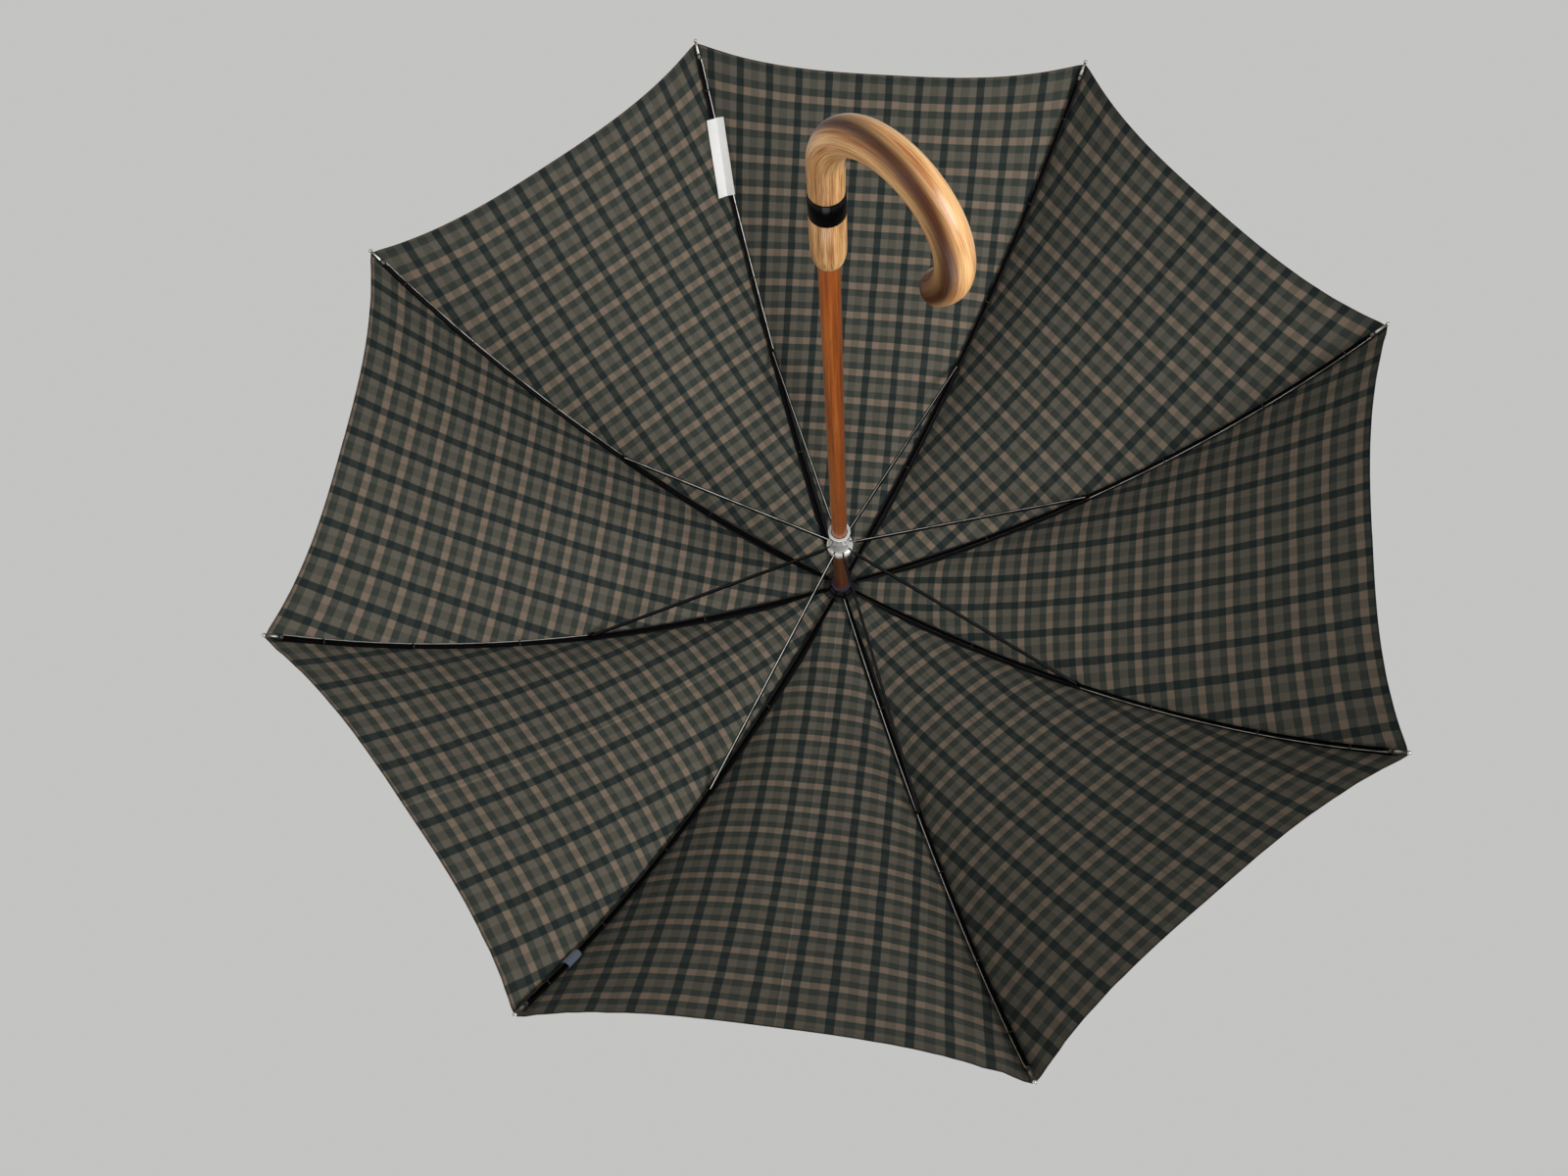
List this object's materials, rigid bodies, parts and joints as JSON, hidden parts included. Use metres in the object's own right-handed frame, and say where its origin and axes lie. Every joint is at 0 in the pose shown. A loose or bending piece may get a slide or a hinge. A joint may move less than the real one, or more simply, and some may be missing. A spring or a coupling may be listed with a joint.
{
  "type": "stick umbrella",
  "caption": "Open stick umbrella: domed check canopy on folding channel ribs and stretchers, sliding runner, round wooden shaft, crook handle and pin ferrule.",
  "frame": {"origin": "on the shaft's axis, at the middle of the handle's black band, where the hand holds it", "axes": "+Z along the shaft towards the ferrule, +X towards the rib that carries the care label"},
  "size_m": [1.0334, 1.0334, 0.8309],
  "materials": {
    "shaft_wood": "clear lacquer over a reddish-brown stain",
    "handle_wood": "clear satin lacquer over honey-blond wood",
    "band_black": "glossy black",
    "notch_black": "black with a violet-grey collar",
    "seam_black": "black gathered fabric",
    "cap_black": "black",
    "ferrule_metal": "satin nickel",
    "runner_clear": "clear, with a bright rim",
    "spring_steel": "plain spring steel",
    "check_fabric": "woven check of olive and grey-brown with dark and tan stripes",
    "label_white": "white satin ribbon",
    "frame_black": "black enamel",
    "tip_nickel": "bright nickel"
  },
  "bodies": {
    "shaft": {"shaft": "shaft_wood", "crook_handle": "handle_wood", "handle_band": "band_black", "top_notch": "notch_black", "rosette": "seam_black", "crown_cap": "cap_black", "ferrule": "ferrule_metal"},
    "rib_1": {"rib_1": "frame_black", "joint_clip_1": "frame_black", "canopy_panel_1": "check_fabric"},
    "rib_outer_1": {"rib_outer_1": "frame_black", "rib_tip_1": "tip_nickel", "care_label": "label_white"},
    "stretcher_1": {"stretcher_1": "frame_black"},
    "rib_2": {"rib_2": "frame_black", "joint_clip_2": "frame_black", "canopy_panel_2": "check_fabric"},
    "rib_outer_2": {"rib_outer_2": "frame_black", "rib_tip_2": "tip_nickel"},
    "stretcher_2": {"stretcher_2": "frame_black"},
    "rib_3": {"rib_3": "frame_black", "joint_clip_3": "frame_black", "canopy_panel_3": "check_fabric"},
    "rib_outer_3": {"rib_outer_3": "frame_black", "rib_tip_3": "tip_nickel"},
    "stretcher_3": {"stretcher_3": "frame_black"},
    "rib_4": {"rib_4": "frame_black", "joint_clip_4": "frame_black", "canopy_panel_4": "check_fabric"},
    "rib_outer_4": {"rib_outer_4": "frame_black", "rib_tip_4": "tip_nickel"},
    "stretcher_4": {"stretcher_4": "frame_black"},
    "rib_5": {"rib_5": "frame_black", "joint_clip_5": "frame_black", "canopy_panel_5": "check_fabric"},
    "rib_outer_5": {"rib_outer_5": "frame_black", "rib_tip_5": "tip_nickel"},
    "stretcher_5": {"stretcher_5": "frame_black"},
    "rib_6": {"rib_6": "frame_black", "joint_clip_6": "frame_black", "canopy_panel_6": "check_fabric"},
    "rib_outer_6": {"rib_outer_6": "frame_black", "rib_tip_6": "tip_nickel", "tie_strap": "check_fabric"},
    "stretcher_6": {"stretcher_6": "frame_black"},
    "rib_7": {"rib_7": "frame_black", "joint_clip_7": "frame_black", "canopy_panel_7": "check_fabric"},
    "rib_outer_7": {"rib_outer_7": "frame_black", "rib_tip_7": "tip_nickel"},
    "stretcher_7": {"stretcher_7": "frame_black"},
    "rib_8": {"rib_8": "frame_black", "joint_clip_8": "frame_black", "canopy_panel_8": "check_fabric"},
    "rib_outer_8": {"rib_outer_8": "frame_black", "rib_tip_8": "tip_nickel"},
    "stretcher_8": {"stretcher_8": "frame_black"},
    "runner": {"runner": "runner_clear"},
    "top_spring": {"top_spring": "spring_steel"},
    "bottom_spring": {"bottom_spring": "spring_steel"}
  },
  "joints": [
    {"name": "fold", "type": "hinge", "parent": "shaft", "child": "rib_1", "pos_m": [0.0116, 0, 0.64], "axis": [0, 1, 0], "range_deg": [0, 75.55], "deforming": ["canopy_panel_1", "canopy_panel_2", "canopy_panel_3", "canopy_panel_4", "canopy_panel_5", "canopy_panel_6", "canopy_panel_7", "canopy_panel_8", "tie_strap", "top_spring", "bottom_spring"]},
    {"name": "rib_2_fold", "type": "hinge", "parent": "shaft", "child": "rib_2", "pos_m": [0.0082, 0.0082, 0.64], "axis": [-0.7071, 0.7071, 0], "range_deg": [0, 75.55]},
    {"name": "rib_3_fold", "type": "hinge", "parent": "shaft", "child": "rib_3", "pos_m": [0, 0.0116, 0.64], "axis": [-1, 0, 0], "range_deg": [0, 75.55]},
    {"name": "rib_4_fold", "type": "hinge", "parent": "shaft", "child": "rib_4", "pos_m": [-0.0082, 0.0082, 0.64], "axis": [-0.7071, -0.7071, 0], "range_deg": [0, 75.55]},
    {"name": "rib_5_fold", "type": "hinge", "parent": "shaft", "child": "rib_5", "pos_m": [-0.0116, 0, 0.64], "axis": [0, -1, 0], "range_deg": [0, 75.55]},
    {"name": "rib_6_fold", "type": "hinge", "parent": "shaft", "child": "rib_6", "pos_m": [-0.0082, -0.0082, 0.64], "axis": [0.7071, -0.7071, 0], "range_deg": [0, 75.55]},
    {"name": "rib_7_fold", "type": "hinge", "parent": "shaft", "child": "rib_7", "pos_m": [0, -0.0116, 0.64], "axis": [1, 0, 0], "range_deg": [0, 75.55]},
    {"name": "rib_8_fold", "type": "hinge", "parent": "shaft", "child": "rib_8", "pos_m": [0.0082, -0.0082, 0.64], "axis": [0.7071, 0.7071, 0], "range_deg": [0, 75.55]},
    {"name": "rib_outer_1_flex", "type": "hinge", "parent": "rib_1", "child": "rib_outer_1", "pos_m": [0.27247, 0, 0.58627], "axis": [0, 1, 0], "range_deg": [-27, 0]},
    {"name": "rib_outer_2_flex", "type": "hinge", "parent": "rib_2", "child": "rib_outer_2", "pos_m": [0.19266, 0.19266, 0.58627], "axis": [-0.7071, 0.7071, 0], "range_deg": [-27, 0]},
    {"name": "rib_outer_3_flex", "type": "hinge", "parent": "rib_3", "child": "rib_outer_3", "pos_m": [0, 0.27247, 0.58627], "axis": [-1, 0, 0], "range_deg": [-27, 0]},
    {"name": "rib_outer_4_flex", "type": "hinge", "parent": "rib_4", "child": "rib_outer_4", "pos_m": [-0.19266, 0.19266, 0.58627], "axis": [-0.7071, -0.7071, 0], "range_deg": [-27, 0]},
    {"name": "rib_outer_5_flex", "type": "hinge", "parent": "rib_5", "child": "rib_outer_5", "pos_m": [-0.27247, 0, 0.58627], "axis": [0, -1, 0], "range_deg": [-27, 0]},
    {"name": "rib_outer_6_flex", "type": "hinge", "parent": "rib_6", "child": "rib_outer_6", "pos_m": [-0.19266, -0.19266, 0.58627], "axis": [0.7071, -0.7071, 0], "range_deg": [-27, 0]},
    {"name": "rib_outer_7_flex", "type": "hinge", "parent": "rib_7", "child": "rib_outer_7", "pos_m": [0, -0.27247, 0.58627], "axis": [1, 0, 0], "range_deg": [-27, 0]},
    {"name": "rib_outer_8_flex", "type": "hinge", "parent": "rib_8", "child": "rib_outer_8", "pos_m": [0.19266, -0.19266, 0.58627], "axis": [0.7071, 0.7071, 0], "range_deg": [-27, 0]},
    {"name": "stretcher_1_swing", "type": "hinge", "parent": "rib_1", "child": "stretcher_1", "pos_m": [0.26582, 0, 0.58387], "axis": [0, 1, 0], "range_deg": [-151.1, 0]},
    {"name": "stretcher_2_swing", "type": "hinge", "parent": "rib_2", "child": "stretcher_2", "pos_m": [0.18796, 0.18796, 0.58387], "axis": [-0.7071, 0.7071, 0], "range_deg": [-151.1, 0]},
    {"name": "stretcher_3_swing", "type": "hinge", "parent": "rib_3", "child": "stretcher_3", "pos_m": [0, 0.26582, 0.58387], "axis": [-1, 0, 0], "range_deg": [-151.1, 0]},
    {"name": "stretcher_4_swing", "type": "hinge", "parent": "rib_4", "child": "stretcher_4", "pos_m": [-0.18796, 0.18796, 0.58387], "axis": [-0.7071, -0.7071, 0], "range_deg": [-151.1, 0]},
    {"name": "stretcher_5_swing", "type": "hinge", "parent": "rib_5", "child": "stretcher_5", "pos_m": [-0.26582, 0, 0.58387], "axis": [0, -1, 0], "range_deg": [-151.1, 0]},
    {"name": "stretcher_6_swing", "type": "hinge", "parent": "rib_6", "child": "stretcher_6", "pos_m": [-0.18796, -0.18796, 0.58387], "axis": [0.7071, -0.7071, 0], "range_deg": [-151.1, 0]},
    {"name": "stretcher_7_swing", "type": "hinge", "parent": "rib_7", "child": "stretcher_7", "pos_m": [0, -0.26582, 0.58387], "axis": [1, 0, 0], "range_deg": [-151.1, 0]},
    {"name": "stretcher_8_swing", "type": "hinge", "parent": "rib_8", "child": "stretcher_8", "pos_m": [0.18796, -0.18796, 0.58387], "axis": [0.7071, 0.7071, 0], "range_deg": [-151.1, 0]},
    {"name": "runner_travel", "type": "hinge", "parent": "stretcher_1", "child": "runner", "pos_m": [0.0116, 0, 0.52774], "axis": [0, 1, 0], "range_deg": [0, 75.55]},
    {"name": "top_spring_press", "type": "hinge", "parent": "shaft", "child": "top_spring", "pos_m": [0.0048, 0.00199, 0.43564], "axis": [0.3827, -0.9239, 0], "range_deg": [0, 3.2], "stiffness_Nm_per_rad": 1},
    {"name": "bottom_spring_press", "type": "hinge", "parent": "shaft", "child": "bottom_spring", "pos_m": [0.0048, 0.00199, 0.17933], "axis": [-0.3827, 0.9239, 0], "range_deg": [0, 3.2], "stiffness_Nm_per_rad": 1}
  ],
  "couplings": [
    {"joint": "rib_2_fold", "follows": "fold", "ratio": 1},
    {"joint": "rib_3_fold", "follows": "fold", "ratio": 1},
    {"joint": "rib_4_fold", "follows": "fold", "ratio": 1},
    {"joint": "rib_5_fold", "follows": "fold", "ratio": 1},
    {"joint": "rib_6_fold", "follows": "fold", "ratio": 1},
    {"joint": "rib_7_fold", "follows": "fold", "ratio": 1},
    {"joint": "rib_8_fold", "follows": "fold", "ratio": 1},
    {"joint": "rib_outer_1_flex", "follows": "fold", "ratio": -0.35738},
    {"joint": "rib_outer_2_flex", "follows": "fold", "ratio": -0.35738},
    {"joint": "rib_outer_3_flex", "follows": "fold", "ratio": -0.35738},
    {"joint": "rib_outer_4_flex", "follows": "fold", "ratio": -0.35738},
    {"joint": "rib_outer_5_flex", "follows": "fold", "ratio": -0.35738},
    {"joint": "rib_outer_6_flex", "follows": "fold", "ratio": -0.35738},
    {"joint": "rib_outer_7_flex", "follows": "fold", "ratio": -0.35738},
    {"joint": "rib_outer_8_flex", "follows": "fold", "ratio": -0.35738},
    {"joint": "stretcher_1_swing", "follows": "fold", "ratio": -2},
    {"joint": "stretcher_2_swing", "follows": "fold", "ratio": -2},
    {"joint": "stretcher_3_swing", "follows": "fold", "ratio": -2},
    {"joint": "stretcher_4_swing", "follows": "fold", "ratio": -2},
    {"joint": "stretcher_5_swing", "follows": "fold", "ratio": -2},
    {"joint": "stretcher_6_swing", "follows": "fold", "ratio": -2},
    {"joint": "stretcher_7_swing", "follows": "fold", "ratio": -2},
    {"joint": "stretcher_8_swing", "follows": "fold", "ratio": -2},
    {"joint": "runner_travel", "follows": "fold", "ratio": 1}
  ]
}
